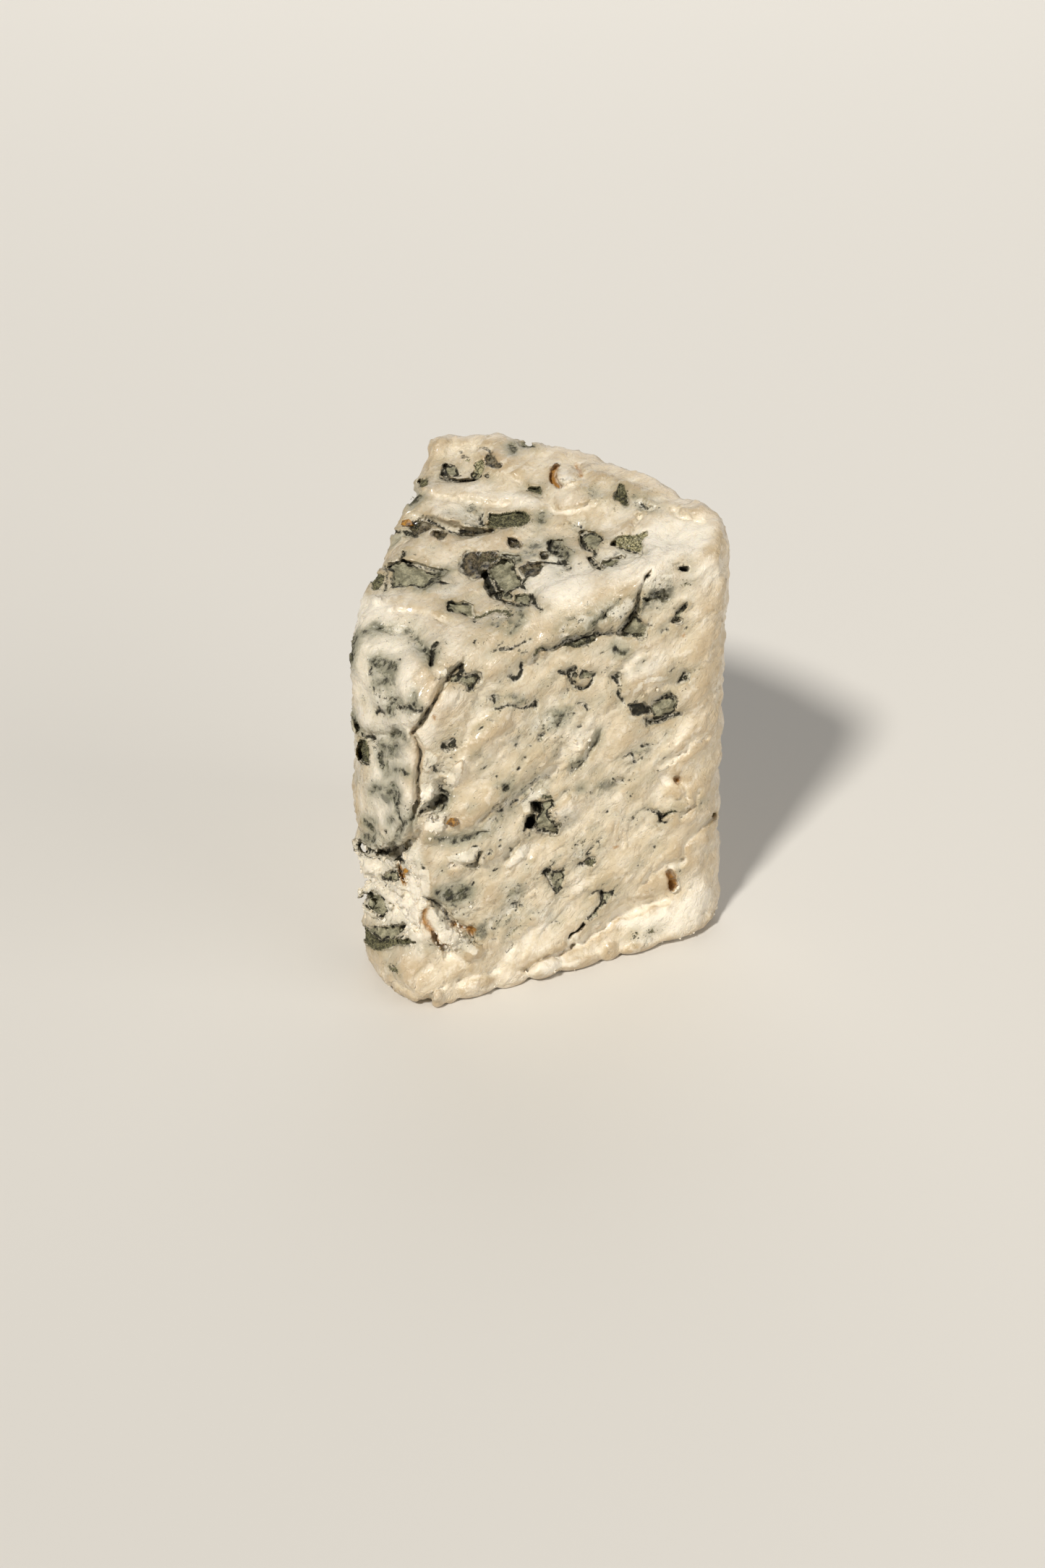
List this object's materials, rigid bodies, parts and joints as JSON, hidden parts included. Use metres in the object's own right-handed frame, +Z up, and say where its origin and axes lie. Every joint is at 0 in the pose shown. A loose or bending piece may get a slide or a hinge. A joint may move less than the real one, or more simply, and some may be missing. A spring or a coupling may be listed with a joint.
{
  "type": "blue cheese wedge",
  "caption": "Upright wedge of blue-veined cheese with its thin tip broken off, open mould pockets in its cut faces and top, and a flat underside that it rests on.",
  "frame": {"origin": "on the flat underside, under the middle of the bounding box", "axes": "+Z up, +Y from the broken nose towards the curved rind, +X to the right seen from the nose"},
  "size_m": [0.0809, 0.0813, 0.0966],
  "materials": {
    "paste": "moist ivory cheese paste with grey-green mould"
  },
  "bodies": {
    "root": {"cheese": "paste"}
  },
  "joints": []
}
